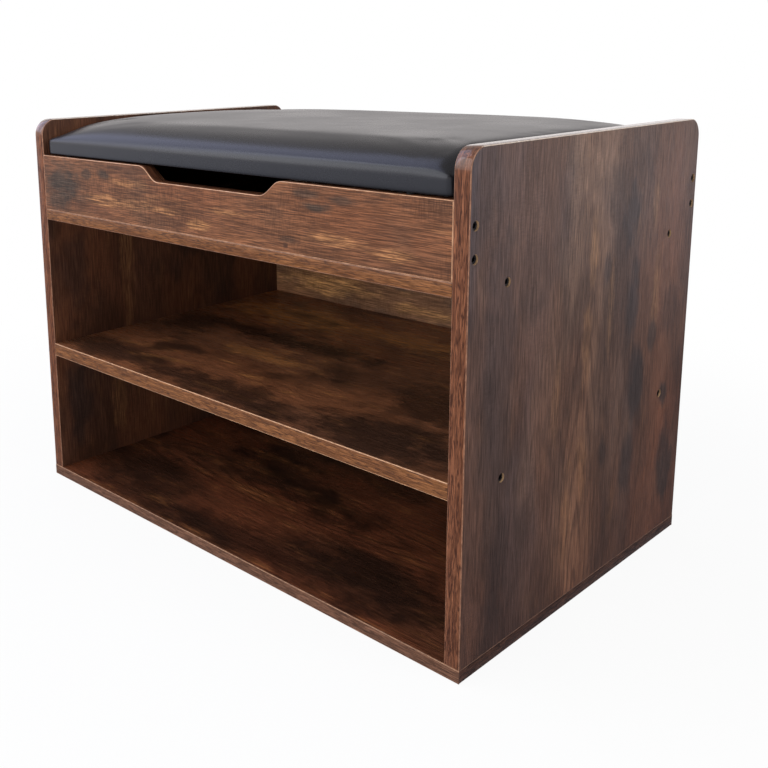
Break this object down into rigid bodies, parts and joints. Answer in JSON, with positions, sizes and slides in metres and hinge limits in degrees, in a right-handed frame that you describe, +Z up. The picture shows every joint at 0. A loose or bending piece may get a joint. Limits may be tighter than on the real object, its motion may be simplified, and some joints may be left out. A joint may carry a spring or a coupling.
{
  "type": "entryway bench",
  "caption": "Low entryway bench in dark wood decor with open shoe bays, a hidden storage compartment behind a notched front panel, and a black padded lid hinged at the rear.",
  "frame": {"origin": "middle of the base's underside, on the floor", "axes": "+Z up, -Y towards the open front, +X to the right as seen from the front"},
  "size_m": [0.6, 0.3963, 0.435],
  "materials": {
    "wood_decor": "satin dark rustic wood decor",
    "edge_band": "satin wood-print strip",
    "back_decor": "satin dark rustic wood decor",
    "dark_screw": "blackened steel",
    "hinge_steel": "zinc plated",
    "raw_board": "bare fibreboard",
    "foam": "open-cell foam",
    "black_leather": "smooth semi-gloss",
    "staple_wire": "galvanised",
    "bumper_rubber": "matte"
  },
  "bodies": {
    "carcass": {"base_panel": "wood_decor", "side_panel_left": "wood_decor", "side_panel_right": "wood_decor", "middle_shelf": "wood_decor", "compartment_floor": "wood_decor", "front_panel": "wood_decor", "back_rail": "wood_decor", "base_edge_band": "edge_band", "side_edge_band_left": "edge_band", "side_edge_band_right": "edge_band", "shelf_edge_band": "edge_band", "floor_edge_band": "edge_band", "front_panel_edge_band": "edge_band", "back_board": "back_decor", "side_screws_left": "dark_screw", "side_screws_right": "dark_screw", "base_screws": "dark_screw", "hinge_rail_leaf_left": "hinge_steel", "hinge_rail_leaf_right": "hinge_steel", "hinge_pin_left": "hinge_steel", "hinge_pin_right": "hinge_steel", "hinge_rail_screws": "hinge_steel"},
    "seat_lid": {"lid_board": "raw_board", "seat_foam": "foam", "seat_cover": "black_leather", "cover_staples": "staple_wire", "lid_bumpers": "bumper_rubber", "hinge_lid_leaf_left": "hinge_steel", "hinge_lid_leaf_right": "hinge_steel", "hinge_lid_screws": "hinge_steel"}
  },
  "joints": [
    {"name": "lid_hinge", "type": "hinge", "parent": "carcass", "child": "seat_lid", "pos_m": [0, 0.1983, 0.3965], "axis": [-1, 0, 0], "range_deg": [0, 100]}
  ]
}
